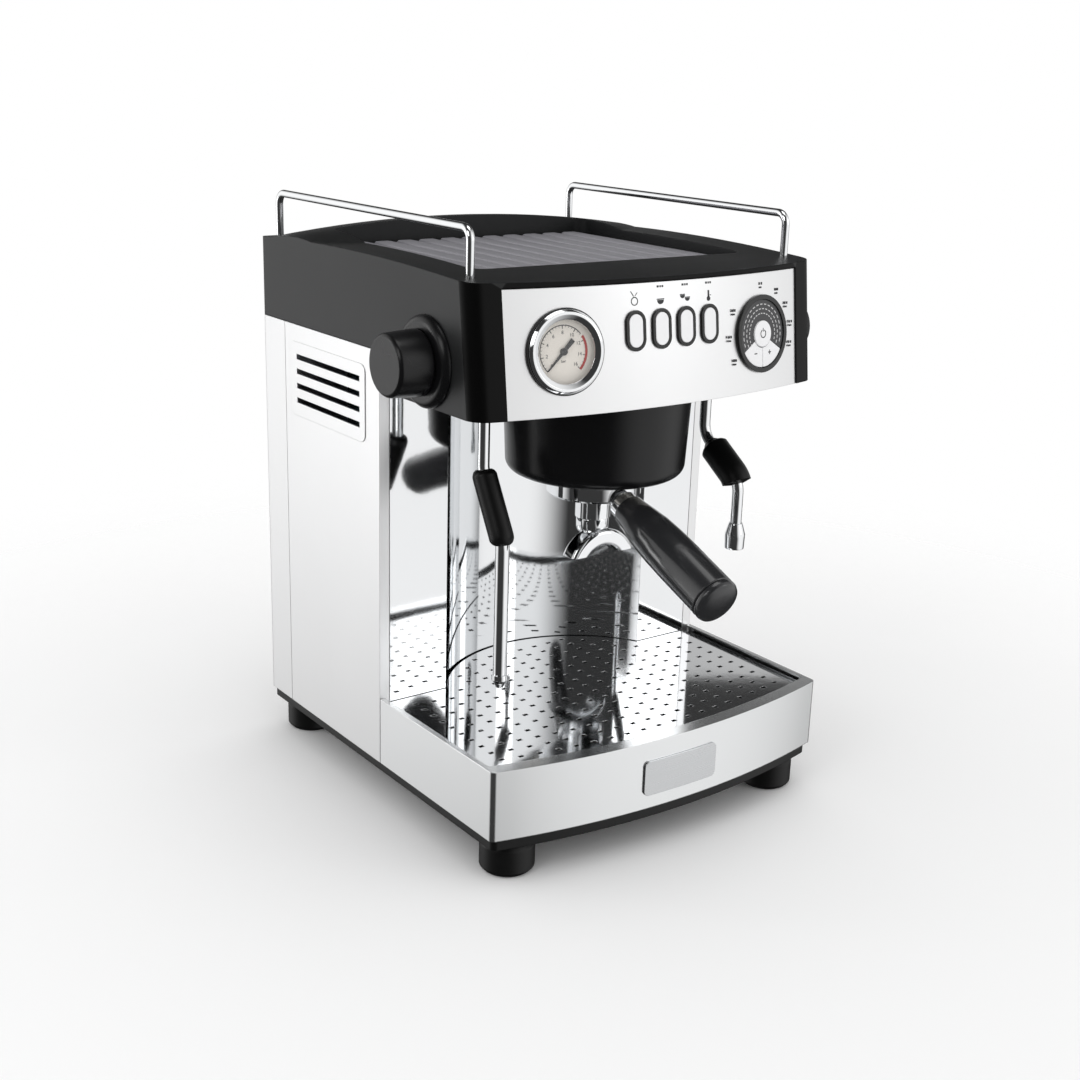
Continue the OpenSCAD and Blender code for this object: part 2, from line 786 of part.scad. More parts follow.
module steam_boiler() {
    shelf_z = 30;
    post_z = boiler_z - steel_z - 2;
    color("#b87a4a") translate([0, boiler_y, boiler_z]) difference() {
        union() {
            cylinder(r = boiler_r, h = boiler_h);
            translate([0, 0, 40]) cylinder(r = boiler_r + 1.5, h = 4);
            translate([0, 0, boiler_h - 4]) cylinder(r = 12, h = 14);
        }
        translate([0, 0, 4]) cylinder(r = boiler_r - boiler_wall, h = boiler_h - 8);
    }
    color("#8d8f91") translate([0, boiler_y - 2, steel_z + 2]) {
        translate([-3, 0, 0]) cube([6, 4, shelf_z + eps]);
        translate([-30, -20, shelf_z]) cube([60, 44, 3]);
        translate([-3, -1, shelf_z + 3 - eps]) cube([6, 6, post_z - shelf_z - 2]);
    }
}

module pump() {
    from = -128;
    to = -66;
    color("#2c2f33") translate([0, pump_y, pump_z]) {
        cyl_x(pump_r, from, to);
        translate([from + 8, -24, steel_z + 2 - pump_z]) cube([40, 48, 10]);
    }
    color("#c9a24a") translate([0, pump_y, pump_z]) {
        cyl_x(port_r, to - eps, to + 18);
        cyl_x(port_r, from - 10, from + eps);
    }
}

module water_tank() {
    color("#8fa6b0", 0.6) difference() {
        translate([-tank_w / 2, tank_y, steel_z + 2 + tank_base]) cube([tank_w, tank_d, panel_h - 10]);
        translate([-tank_w / 2 + tank_wall, tank_y + tank_wall, steel_z + 2 + tank_base + tank_wall])
            cube([tank_w - 2 * tank_wall, tank_d - 2 * tank_wall, panel_h]);
    }
    color("#232323") translate([-tank_w / 2 + 2, tank_y + 2, steel_z + 2]) cube([tank_w - 4, tank_d - 4, tank_base]);
}

module water_pipes() {
    up = [[riser_x, pump_y, pump_z], [riser_x, pump_y, deck_pipe_z], [riser_x, duct_y, deck_pipe_z],
        [riser_x, duct_y, head_pipe_z], [riser_x, group_y + 41, head_pipe_z]];
    intake = [intake_x, intake_y, steel_z + 12];
    color("#d9d6c8") {
        translate([0, pump_y, pump_z]) cyl_x(pipe_r, -48 + eps, riser_x);
        for (i = [0:len(up) - 2]) bar(up[i], up[i + 1], pipe_r);
        for (place = up) translate(place) sphere(pipe_r);
        translate(intake) sphere(pipe_r);
        translate(intake) cyl_x(pipe_r, 0, -tank_w / 2 + 1.8 - intake_x);
    }
}

module wand_valves() {
    color("#c9a24a") for (s = [-1, 1]) mirror([s > 0 ? 1 : 0, 0, 0]) difference() {
        union() {
            translate([0, knob_y, knob_z]) cyl_x(11, -hw + 8, -wand_x + 6);
            translate([-wand_x - 9, knob_y - 9, knob_z - 13]) cube([18, 18, 26]);
            translate([-wand_x, wand_y, head_z + 1]) cylinder(r = 5, h = 20);
        }
        translate([0, knob_y, knob_z]) cyl_x(spindle_r + 0.08, -hw, -wand_x - 2);
        translate([-wand_x, wand_y, head_z]) cylinder(r = 2, h = 24);
    }
}

module knob_escutcheons() {
    color("#1a1a1b") for (s = [-1, 1]) mirror([s > 0 ? 1 : 0, 0, 0])
        translate([-hw - 0.1, knob_y, knob_z]) rotate([0, -90, 0]) rotate_extrude()
            polygon([[5.5, 0], [31, 0], [30.4, 2.4], [28.6, 4.6], [25.5, 6.2], [5.5, 6.2]]);
}

module side_knob() {
    translate([-hw, knob_y, knob_z]) rotate([0, -90, 0]) {
        rotate_extrude() polygon([[0, 7], [knob_r + 1, 7], [knob_r + 1.2, 9], [knob_r, knob_out - 2],
            [knob_r - 2, knob_out], [0, knob_out]]);
        translate([0, 0, -30]) cylinder(r = spindle_r, h = 38);
    }
}

module steam_knob() {
    color("#0f0f10") side_knob();
}

module water_knob() {
    color("#0f0f10") mirror([1, 0, 0]) side_knob();
}

// ---------- Wands ----------

module wand_sockets() {
    color("silver") for (s = [-1, 1]) translate([s * wand_x, wand_y, ball_z]) difference() {
        rotate_extrude() polygon([[0, -2.5], [9, -2.5], [11.4, 0.4], [12.7, 3.6], [13, 7], [13, 8.8], [0, 8.8]]);
        sphere(ball_r + 0.3);
        translate([0, 0, -3]) cylinder(r = ball_r + 0.3, h = 3);
        cylinder(r = 2, h = 40);
    }
}

module steam_wand_ball() {
    color("silver") difference() {
        translate([-wand_x, wand_y, ball_z]) sphere(ball_r);
        translate([-wand_x, wand_y, ball_z]) rotate([90, 0, 0]) cylinder(r = 2, h = 20, center = true);
        translate([-wand_x - tube_d / 2 - 4.6, wand_y - tube_d / 2 - 0.3, ball_z - 8])
            cube([tube_d + 9, tube_d + 0.6, 12]);
    }
}

module steam_wand() {
    r = tube_d / 2;
    color("silver") {
        bent_bar([for (i = [0:2]) i == 0 ? steam_pts[0] - [0, 0, 3.6] : steam_pts[i]], r);
        translate(steam_pts[2]) sphere(elbow * steam_tube_d / 2);
        bar(steam_pts[2], steam_pts[3], steam_tube_d / 2);
    }
}

// Sleeve along the slanted stretch of a wand
module wand_grip(a, b, r, bore) {
    d = b - a;
    l = norm(d);
    translate(a) rotate([atan2(-d.y, d.z), 0, 0]) difference() {
        union() {
            translate([0, 0, 2]) cylinder(r = r, h = l - 4);
            cylinder(r1 = r - 1.6, r2 = r, h = 2);
            translate([0, 0, l - 2]) cylinder(r1 = r, r2 = r - 1.6, h = 2);
        }
        translate([0, 0, -1]) cylinder(r = bore, h = l + 2);
    }
}

module steam_wand_grip() {
    v = steam_pts[2] - steam_pts[1];
    color("#0e0e0e") wand_grip(steam_pts[1] + 0.05 * v, steam_pts[1] + 0.93 * v, 8.6, tube_d / 2 + 0.2);
}

module steam_nozzle() {
    r = steam_tube_d / 2;
    color("silver") translate([-wand_x, steam_low_y, steam_tip_z]) difference() {
        rotate_extrude() polygon([[0, 0], [2.6, 0], [r - 0.6, 4], [r + 1, 6], [r + 1, 9.9], [0, 9.9]]);
        for (a = [0:90:270]) rotate([0, 0, a]) translate([2.2, 0, -1]) cylinder(r = 0.7, h = 6, $fn = 16);
    }
}

module water_wand() {
    r = tube_d / 2;
    color("silver") {
        bent_bar(water_pts, r);
        translate(water_pts[0]) sphere(ball_r);
    }
}

module water_wand_grip() {
    v = water_pts[2] - water_pts[1];
    color("#0e0e0e") wand_grip(water_pts[1] + 0.36 * v, water_pts[1] + 0.95 * v, 11, tube_d / 2 + 0.2);
}

module water_nozzle() {
    color("silver") translate([wand_x, water_low_y, water_tip_z]) difference() {
        rotate_extrude() polygon([[0, 0], [7.2, 0], [7.6, 11], [5, 19.9], [0, 19.9]]);
        translate([0, 0, -1]) cylinder(r = 5.6, h = 10);
    }
}

// ---------- Portafilter ----------

module portafilter_body() {
    color("silver") difference() {
        union() {
            translate([0, group_y, 0]) {
                rotate_extrude() polygon([[0, bowl_z - 2], [bowl_r - 9, bowl_z - 2], [bowl_r - 1.5, bowl_z],
                    [bowl_r, bowl_z + 1.5], [bowl_r, bowl_top], [0, bowl_top]]);
                intersection() {
                    translate([0, 0, ear_z]) cylinder(r = ear_r, h = ear_t);
                    translate([-ear_r, -ear_w / 2, ear_z]) cube([2 * ear_r, ear_w, ear_t]);
                }
                translate([0, 0, stem_z]) cylinder(r = stem_r, h = bowl_z - stem_z);
            }
            handle_axis() translate([0, 0, -neck_l - 14]) {
                cylinder(r = 7.5, h = neck_l + 14);
                translate([0, 0, neck_l + 8]) cylinder(r = 10.5, h = 6);
            }
        }
        translate([0, group_y, bowl_z + 1.5]) cylinder(r = 31, h = 60);
        translate([0, group_y, stem_z - 1]) cylinder(r = 4, h = 60);
    }
}

// Places its children with +Z along the handle, away from the bowl
module handle_axis() {
    translate([0, handle_y, handle_z]) rotate([90 + handle_slope, 0, 0]) children();
}

module filter_basket() {
    top = bowl_top + 0.1;
    depth = 24;
    color("#c8cacc") translate([0, group_y, 0]) difference() {
        union() {
            translate([0, 0, top - depth]) cylinder(r = 29.8, h = depth);
            translate([0, 0, top - eps]) cylinder(r = 34, h = 0.6);
        }
        translate([0, 0, top - depth + 0.8]) cylinder(r = 29, h = depth + 5);
        for (ring = [1:3], i = [0:6 * ring - 1]) rotate([0, 0, 60 / ring * i])
            translate([7.5 * ring, 0, top - depth - 1]) cylinder(r = 0.9, h = 4, $fn = 16);
    }
}

module portafilter_spout() {
    mid = (spout_r + spout_inner) / 2;
    half = (spout_r - spout_inner) / 2;
    color("silver") difference() {
        union() {
            translate([0, group_y, spout_z + spout_r - 5])
                cylinder(r = stem_r - 1, h = stem_z - spout_z - spout_r + 5);
            intersection() {
                translate([0, spout_y, spout_z]) rotate([90, 0, 0]) rotate_extrude() translate([mid, 0])
                    translate([-half, -spout_depth / 2]) rounded_rect([2 * half, spout_depth], 4);
                translate([-50, group_y - 50, spout_cut]) cube([100, 100, 60]);
            }
        }
        translate([0, group_y, spout_cut + 17]) cylinder(r = 3, h = 60);
        for (s = [-1, 1]) translate([s * (mid - 1), spout_y, spout_cut - 1]) cylinder(r = 3.5, h = 9);
    }
}

module portafilter_handle() {
    r = handle_r;
    l = handle_l - cap_l;
    color("#1c1c1d") handle_axis() translate([0, 0, 0.1]) rotate_extrude() polygon([[0, 0], [11, 0],
        [11.8, 1], [12.6, 8], [14.2, 18], [15.8, 30], [r - 0.4, 45], [r, 62], [r, l - 0.8], [r - 0.8, l], [0, l]]);
}

module handle_cap() {
    r = handle_r;
    color("#2a2a2b") handle_axis() translate([0, 0, handle_l - cap_l + 0.2]) rotate_extrude()
        polygon([[0, 0], [r - 0.8, 0], [r, 0.8], [r, 3], [r - 1, 5.4], [r - 3.6, 7], [r - 8, 8], [0, 8.6]]);
}

// ---------- Drip tray ----------

// Plan of the tray, with its rear in the recess of the backsplash
module tray_plan(side, front) {
    gap = 1.5;
    intersection() {
        bow_plan(hw - side, bow_r, tray_y + front, 3, panel_y - 0.8);
        translate([-hw, tray_y - 5]) square([body_w, panel_y - 0.8 - tray_y + 5]);
    }
    intersection() {
        translate([0, recess_y]) circle(recess_r - gap, $fn = 180);
        translate([-hw, -10]) square([body_w, 100]);
    }
}

module drip_tray() {
    color("#1a1a1a") translate([0, 0, steel_z + 0.3]) difference() {
        linear_extrude(44.5) tray_plan(2, 2);
        translate([0, 0, 2.5]) linear_extrude(60) tray_plan(4.5, 4.5);
        translate([0, 0, 2.5]) difference() {
            translate([-hw, panel_y - 3, 0]) cube([body_w, 120, 60]);
            translate([0, recess_y, -1]) cylinder(r = recess_r - 4, h = 70);
        }
    }
}

module tray_front() {
    t = 1.5;
    color("#e2e4e6") translate([0, 0, steel_z]) {
        linear_extrude(tray_h) difference() {
            bow_plan(hw, bow_r, tray_y, 4, panel_y - 0.6);
            bow_plan(hw - t, bow_r, tray_y + t, 2.5, panel_y + 20);
        }
        translate([0, 0, tray_h - t]) linear_extrude(t) difference() {
            bow_plan(hw - 1, bow_r, tray_y + 1, 3, panel_y - 0.6);
            bow_plan(hw - 4, bow_r, tray_y + 11, 2, panel_y + 20);
        }
    }
}

module drip_grid() {
    rows = 16;
    cols = 19;
    rim = 9;
    lip = 11.4;
    slot = [4, 3];
    color("#d4d6d8") translate([0, 0, steel_z + 45]) difference() {
        linear_extrude(2) tray_plan(4.4, lip);
        for (i = [0:cols - 1], j = [0:rows - 1]) {
            x = (i - (cols - 1) / 2) * slot_pitch_x;
            bow = bow_r - sqrt(pow(bow_r, 2) - x * x);
            y = tray_y + 26.5 + bow + j * slot_pitch_y;
            rear_edge = abs(x) < 96 ? recess_y + sqrt(pow(recess_r, 2) - x * x) : panel_y;
            if (y < rear_edge - rim)
                translate([x - slot.x / 2, y - slot.y / 2, -1]) cube([slot.x, slot.y, 4]);
        }
    }
}

module badge_plate() {
    color("#b4b6b8") intersection() {
        translate([badge_x - badge_w / 2, tray_y + 10, badge_z]) rotate([90, 0, 0])
            linear_extrude(40) rounded_rect([badge_w, badge_h], 4);
        translate([0, tray_y + bow_r, steel_z]) difference() {
            cylinder(r = bow_r + 1.6, h = tray_h, $fn = 720);
            translate([0, 0, -1]) cylinder(r = bow_r + 0.1, h = tray_h + 2, $fn = 720);
        }
    }
}

base_pan();
feet();
chassis();
side_panel_left();
side_panel_right();
rear_cover();
case_screws();
power_inlet();
backsplash();
top_shell();
cup_tray();
cup_rail_left();
cup_rail_right();
fascia();
gauge_can();
gauge_bezel();
gauge_dial();
gauge_needle();
gauge_glass();
button_bezels();
power_button();
one_cup_button();
two_cup_button();
steam_button();
dial_bezel();
dial_ring();
dial_centre_button();
dial_minus_button();
dial_plus_button();
panel_board();
group_cover();
group_head();
group_gasket();
shower_screen();
brew_boiler();
steam_boiler();
pump();
water_tank();
water_pipes();
wand_valves();
knob_escutcheons();
steam_knob();
water_knob();
wand_sockets();
steam_wand_ball();
steam_wand();
steam_wand_grip();
steam_nozzle();
water_wand();
water_wand_grip();
water_nozzle();
portafilter_body();
filter_basket();
portafilter_spout();
portafilter_handle();
handle_cap();
drip_tray();
tray_front();
drip_grid();
badge_plate();
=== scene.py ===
"""Espresso machine: finishes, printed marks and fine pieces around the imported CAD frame."""

import json
import math

import bmesh
import bpy
from mathutils import Matrix, Vector

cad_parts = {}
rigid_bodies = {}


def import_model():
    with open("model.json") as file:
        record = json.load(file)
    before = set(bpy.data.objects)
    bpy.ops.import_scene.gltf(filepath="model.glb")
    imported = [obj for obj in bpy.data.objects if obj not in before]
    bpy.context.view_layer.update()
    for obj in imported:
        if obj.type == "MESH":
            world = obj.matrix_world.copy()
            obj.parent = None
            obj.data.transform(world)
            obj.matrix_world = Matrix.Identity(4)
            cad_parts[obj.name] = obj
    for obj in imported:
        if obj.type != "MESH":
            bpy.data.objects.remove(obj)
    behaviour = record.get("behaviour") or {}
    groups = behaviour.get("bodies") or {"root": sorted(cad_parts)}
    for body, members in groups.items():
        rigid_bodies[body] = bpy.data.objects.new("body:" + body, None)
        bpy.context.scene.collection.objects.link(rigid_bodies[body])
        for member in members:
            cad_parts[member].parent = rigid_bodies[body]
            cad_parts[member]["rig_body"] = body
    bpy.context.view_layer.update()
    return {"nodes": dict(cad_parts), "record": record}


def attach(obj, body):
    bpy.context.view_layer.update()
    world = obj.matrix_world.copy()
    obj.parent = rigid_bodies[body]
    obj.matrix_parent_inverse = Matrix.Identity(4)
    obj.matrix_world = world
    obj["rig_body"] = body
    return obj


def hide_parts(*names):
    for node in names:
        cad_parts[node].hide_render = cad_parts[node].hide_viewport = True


MM = 0.001
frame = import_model()
NODES = frame["nodes"]

# Levels and planes of the CAD model, in metres
HEAD_Z = 0.315
FRONT_Y = -0.126
BOW_R = 0.6
LEAN = math.radians(6.95)
GAUGE = (-0.0854, 0.0425)
DIAL = (0.087, 0.041)
BUTTON_X = [0.001 + (i - 1.5) * 0.0216 for i in range(4)]

# How a CAD mesh is cleaned before its edges are rounded: metres, degrees, degrees
WELD, FLAT_ANGLE, SHARP_ANGLE = 0.00002, 0.15, 28.0


# ---------- Camera ----------

def make_camera():
    """The photograph's view: azimuth, elevation and roll about a target near the middle of the machine."""
    az, el, roll = math.radians(-36.4607), math.radians(17.3414), math.radians(1.7216)
    target, distance = Vector((-0.008798, 0.010, 0.1842676)), 1.17828
    back = Vector((math.sin(az) * math.cos(el), -math.cos(az) * math.cos(el), math.sin(el)))
    side = Vector((0, 0, 1)).cross(back).normalized()
    up = back.cross(side)
    right = math.cos(roll) * side + math.sin(roll) * up
    top = -math.sin(roll) * side + math.cos(roll) * up
    data = bpy.data.cameras.new("camera")
    data.sensor_width = 36
    data.lens = 51.4101333
    data.clip_end = 60
    camera = bpy.data.objects.new("camera", data)
    place = Matrix((right, top, back)).transposed().to_4x4()
    place.translation = target + back * distance
    camera.matrix_world = place
    bpy.context.scene.collection.objects.link(camera)
    bpy.context.scene.camera = camera


make_camera()


# ---------- Materials ----------

def new_material(name):
    material = bpy.data.materials.new(name)
    material.use_nodes = True
    return material, material.node_tree.nodes, material.node_tree.links


def finish(name, color, metallic=0.0, rough=0.4, grain=None, streak=None, spread=0.0,
           tint=0.0, edge=0.0, **sockets):
    """A procedural finish. grain = (scale, bump mm), streak = (stretch, scale, bump mm), spread and
    tint vary roughness and colour over large patches, and edge rounds the shading at edges, in mm."""
    material, nodes, links = new_material(name)
    shader = nodes["Principled BSDF"]
    shader.inputs["Base Color"].default_value = (*color, 1)
    shader.inputs["Metallic"].default_value = metallic
    shader.inputs["Roughness"].default_value = rough
    for socket, value in sockets.items():
        shader.inputs[socket.replace("_", " ")].default_value = value
    place = nodes.new("ShaderNodeTexCoord")
    normal = None
    if edge:
        bevel = nodes.new("ShaderNodeBevel")
        bevel.samples = 4
        bevel.inputs["Radius"].default_value = edge * MM
        normal = bevel.outputs["Normal"]

    def noise(scale, stretch=(1, 1, 1), detail=3.0):
        mapping = nodes.new("ShaderNodeMapping")
        mapping.inputs["Scale"].default_value = stretch
        links.new(place.outputs["Object"], mapping.inputs["Vector"])
        texture = nodes.new("ShaderNodeTexNoise")
        texture.inputs["Scale"].default_value = scale
        texture.inputs["Detail"].default_value = detail
        links.new(mapping.outputs["Vector"], texture.inputs["Vector"])
        return texture.outputs["Fac"]

    def bump(height, depth):
        nonlocal normal
        node = nodes.new("ShaderNodeBump")
        node.inputs["Distance"].default_value = depth * MM
        links.new(height, node.inputs["Height"])
        if normal is not None:
            links.new(normal, node.inputs["Normal"])
        normal = node.outputs["Normal"]

    if grain:
        bump(noise(grain[0]), grain[1])
    if streak:
        bump(noise(streak[1], streak[0], 5.0), streak[2])
    if spread:
        ramp = nodes.new("ShaderNodeMapRange")
        ramp.inputs["To Min"].default_value = max(0.0, rough - spread)
        ramp.inputs["To Max"].default_value = rough + spread
        links.new(noise(9, streak[0] if streak else (1, 1, 1), 4.0), ramp.inputs["Value"])
        links.new(ramp.outputs["Result"], shader.inputs["Roughness"])
    if tint:
        mix = nodes.new("ShaderNodeMix")
        mix.data_type = "RGBA"
        mix.inputs[6].default_value = (*[c * (1 - tint) for c in color], 1)
        mix.inputs[7].default_value = (*[min(1.0, c * (1 + tint)) for c in color], 1)
        links.new(noise(14, detail=4.0), mix.inputs[0])
        links.new(mix.outputs[2], shader.inputs["Base Color"])
    if normal is not None:
        links.new(normal, shader.inputs["Normal"])
    return material


# Stretch of the noise for brushing along an axis
ALONG_X, ALONG_Z = (2, 90, 90), (90, 90, 2)
FINISHES = {
    "base_plastic": dict(color=(0.004, 0.004, 0.004), rough=0.42, grain=(2600, 0.03), spread=0.06,
                         tint=0.1, Specular_IOR_Level=0.3),
    "foot_rubber": dict(color=(0.005, 0.005, 0.005), rough=0.45, grain=(1800, 0.04), spread=0.08,
                        tint=0.15, Specular_IOR_Level=0.3),
    "zinc_sheet": dict(color=(0.5, 0.51, 0.52), metallic=1, rough=0.38, grain=(300, 0.02), spread=0.1,
                       tint=0.1),
    "satin_steel": dict(color=(0.82, 0.822, 0.825), metallic=1, rough=0.33, grain=(5200, 0.006),
                        streak=(ALONG_Z, 24, 0.002), spread=0.03, tint=0.02, edge=0.5),
    "fascia_steel": dict(color=(0.84, 0.842, 0.845), metallic=1, rough=0.36, grain=(5200, 0.008),
                         streak=(ALONG_X, 24, 0.002), spread=0.03, tint=0.02, edge=0.4),
    "polished_steel": dict(color=(0.84, 0.85, 0.86), metallic=1, rough=0.055, grain=(60, 0.02),
                           spread=0.02, tint=0.015, edge=0.5),
    "tray_steel": dict(color=(0.80, 0.81, 0.815), metallic=1, rough=0.2, grain=(5200, 0.004),
                       streak=(ALONG_X, 24, 0.002), spread=0.03, tint=0.02, edge=0.8),
    "screw_steel": dict(color=(0.62, 0.63, 0.64), metallic=1, rough=0.25, grain=(900, 0.01),
                        spread=0.05, tint=0.05, edge=0.2),
    "inlet_plastic": dict(color=(0.012, 0.012, 0.012), rough=0.4, grain=(2500, 0.03), spread=0.05,
                          tint=0.1, edge=0.4),
    "shell_plastic": dict(color=(0.013, 0.0135, 0.014), rough=0.42, grain=(3200, 0.015), spread=0.04,
                          tint=0.08, edge=1.2, Specular_IOR_Level=0.28),
    # painted shade: a darker, less shiny copy of the shell plastic, for the head's forward faces and the cup
    # tray's grooves
    "painted_shade_black": dict(color=(0.002, 0.002, 0.002), rough=0.3, grain=(3200, 0.01), spread=0.04,
                      tint=0.08, edge=1.2, Specular_IOR_Level=0.12),
    "tray_metal": dict(color=(0.30, 0.295, 0.32), metallic=0.25, rough=0.4, grain=(3000, 0.01),
                       streak=((90, 2, 90), 20, 0.004), spread=0.05, tint=0.05, edge=0.4),
    "chrome": dict(color=(0.88, 0.89, 0.90), metallic=1, rough=0.05, grain=(40, 0.01), spread=0.02,
                   tint=0.01, edge=0.3),
    "gauge_black": dict(color=(0.006, 0.006, 0.006), rough=0.22, grain=(900, 0.004), spread=0.05,
                        tint=0.1, edge=0.3),
    "gauge_card": dict(color=(0.80, 0.755, 0.69), rough=0.55, grain=(2400, 0.01), spread=0.05,
                       tint=0.02),
    "bezel_black": dict(color=(0.008, 0.008, 0.008), rough=0.2, grain=(1400, 0.004), spread=0.05,
                        tint=0.1, edge=0.3),
    "button_white": dict(color=(0.90, 0.90, 0.91), rough=0.25, grain=(1500, 0.004), spread=0.04,
                         tint=0.015, edge=0.5),
    "dial_grey": dict(color=(0.045, 0.045, 0.047), rough=0.45, grain=(900, 0.12), spread=0.08,
                      tint=0.25, edge=0.3),
    "board_green": dict(color=(0.03, 0.13, 0.06), rough=0.35, grain=(700, 0.02), spread=0.08,
                        tint=0.15),
    "cover_black": dict(color=(0.004, 0.004, 0.0045), rough=0.26, grain=(2600, 0.006), spread=0.04,
                        tint=0.1, edge=0.5, Specular_IOR_Level=0.35),
    "group_brass": dict(color=(0.62, 0.60, 0.55), metallic=1, rough=0.25, grain=(500, 0.01),
                        spread=0.06, tint=0.06, edge=0.4),
    "gasket_rubber": dict(color=(0.03, 0.012, 0.01), rough=0.6, grain=(1500, 0.05), spread=0.08,
                          tint=0.1),
    "boiler_steel": dict(color=(0.55, 0.56, 0.57), metallic=1, rough=0.3, grain=(500, 0.01),
                         spread=0.08, tint=0.05),
    "boiler_copper": dict(color=(0.72, 0.36, 0.2), metallic=1, rough=0.3, grain=(400, 0.02),
                          spread=0.08, tint=0.12),
    "pump_plastic": dict(color=(0.02, 0.022, 0.025), rough=0.45, grain=(1500, 0.04), spread=0.06,
                         tint=0.1),
    "tank_plastic": dict(color=(0.45, 0.53, 0.58), rough=0.12, grain=(300, 0.01), spread=0.04,
                         tint=0.04, Transmission_Weight=0.85, IOR=1.49),
    "pipe_plastic": dict(color=(0.7, 0.69, 0.62), rough=0.35, grain=(600, 0.02), spread=0.06,
                         tint=0.04),
    "valve_brass": dict(color=(0.72, 0.53, 0.22), metallic=1, rough=0.28, grain=(600, 0.02),
                        spread=0.06, tint=0.06),
    "grip_rubber": dict(color=(0.003, 0.003, 0.003), rough=0.38, grain=(2600, 0.03), spread=0.06,
                        tint=0.12, Specular_IOR_Level=0.25),
    "handle_plastic": dict(color=(0.020, 0.0205, 0.022), rough=0.2, grain=(2200, 0.004), spread=0.04,
                           tint=0.08, edge=0.6, Coat_Weight=0.5, Coat_Roughness=0.08),
    "badge_metal": dict(color=(0.62, 0.63, 0.64), metallic=1, rough=0.28, grain=(3000, 0.008),
                        streak=(ALONG_X, 24, 0.004), spread=0.04, tint=0.05, edge=0.3),
    "ink_dark": dict(color=(0.02, 0.02, 0.022), rough=0.5, grain=(2500, 0.004), spread=0.04, tint=0.1),
    "ink_red": dict(color=(0.42, 0.02, 0.015), rough=0.5, grain=(2500, 0.004), spread=0.04, tint=0.08),
    # painted highlight: pale grey for the dashes that stand for the light on the dial ring's relief
    "painted_highlight_grey": dict(color=(0.62, 0.62, 0.62), rough=0.5, grain=(2500, 0.004), spread=0.04,
                      tint=0.05),
}
M = {name: finish(name, **values) for name, values in FINISHES.items()}


def make_glass():
    material, nodes, links = new_material("gauge_glass")
    shader = nodes["Principled BSDF"]
    shader.inputs["Base Color"].default_value = (1, 1, 1, 1)
    shader.inputs["Roughness"].default_value = 0.02
    shader.inputs["IOR"].default_value = 1.45
    shader.inputs["Alpha"].default_value = 0.035
    return material


M["gauge_glass"] = make_glass()


# ---------- Mesh helpers ----------

def add_object(name, mesh, material, body, replaced=()):
    piece = bpy.data.objects.new(name, mesh)
    bpy.context.scene.collection.objects.link(piece)
    mesh.materials.clear()
    mesh.materials.append(material)
    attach(piece, body)
    if replaced:
        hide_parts(*replaced)
    return piece


def close_mesh(bm, name, smooth=35.0):
    bmesh.ops.recalc_face_normals(bm, faces=bm.faces)
    mesh = bpy.data.meshes.new(name)
    bm.to_mesh(mesh)
    bm.free()
    for polygon in mesh.polygons:
        polygon.use_smooth = True
    mesh.set_sharp_from_angle(angle=math.radians(smooth))
    return mesh


def on_fascia(x, s):
    """Matrix of a place on the leaning, bowed fascia: +Z out of it, +Y up along it."""
    phi = math.asin(x / BOW_R)
    lean = (Matrix.Translation((0, FRONT_Y, HEAD_Z)) @ Matrix.Rotation(-LEAN, 4, "X")
            @ Matrix.Translation((0, -FRONT_Y, 0)))
    return (lean @ Matrix.Translation((x, FRONT_Y + BOW_R * (1 - math.cos(phi)), s))
            @ Matrix.Rotation(phi, 4, "Z") @ Matrix.Rotation(math.radians(90), 4, "X"))


def prism(bm, outline, matrix, low, high):
    """Extrudes a 2-D outline, in mm, between two heights, in mm, and places it."""
    rings = [[bm.verts.new(matrix @ Vector((x * MM, y * MM, z * MM))) for x, y in outline]
             for z in (low, high)]
    count = len(outline)
    bm.faces.new(rings[0][::-1])
    bm.faces.new(rings[1])
    for i in range(count):
        j = (i + 1) % count
        bm.faces.new((rings[0][i], rings[0][j], rings[1][j], rings[1][i]))


def rectangle(x0, y0, x1, y1):
    return [(x0, y0), (x1, y0), (x1, y1), (x0, y1)]


def stroke(x, y, half_x, half_y):
    """A rectangle about its middle."""
    return rectangle(x - half_x, y - half_y, x + half_x, y + half_y)


def polar(r, angle):
    return r * math.cos(math.radians(angle)), r * math.sin(math.radians(angle))


def arc_points(r, a0, a1, count, cx=0.0, cy=0.0):
    arc = [polar(r, a0 + (a1 - a0) * i / count) for i in range(count + 1)]
    return [(cx + x, cy + y) for x, y in arc]


def band(r0, r1, a0, a1, count):
    """Part of a ring between two radii and two angles."""
    return arc_points(r1, a0, a1, count) + arc_points(r0, a1, a0, count)


def bar(x0, y0, x1, y1, width):
    """A straight stroke from one point to another."""
    dx, dy = x1 - x0, y1 - y0
    n = math.hypot(dx, dy)
    ox, oy = -dy / n * width / 2, dx / n * width / 2
    return [(x0 + ox, y0 + oy), (x0 - ox, y0 - oy), (x1 - ox, y1 - oy), (x1 + ox, y1 + oy)]


def marks(name, outlines, matrix, low, high, material, body):
    """Printed marks as thin raised prisms, from low to high, in mm, over the surface of matrix."""
    bm = bmesh.new()
    for outline in outlines:
        prism(bm, outline, matrix, low, high)
    return add_object(name, close_mesh(bm, name), material, body)


def numerals(name, texts, matrix, lift, size, material, body):
    """Numbers as one flat raised mesh: texts = [(string, x mm, y mm)]."""
    bm = bmesh.new()
    for string, x, y in texts:
        curve = bpy.data.curves.new(name + "_text", "FONT")
        curve.body = string
        curve.size = size * MM
        curve.align_x = "CENTER"
        curve.align_y = "CENTER"
        curve.extrude = 0.00005
        curve.resolution_u = 3
        carrier = bpy.data.objects.new(name + "_text", curve)
        mesh = carrier.to_mesh()
        mesh.transform(matrix @ Matrix.Translation((x * MM, y * MM, lift * MM)))
        bm.from_mesh(mesh)
        carrier.to_mesh_clear()
        bpy.data.objects.remove(carrier)
        bpy.data.curves.remove(curve)
    return add_object(name, close_mesh(bm, name), material, body)


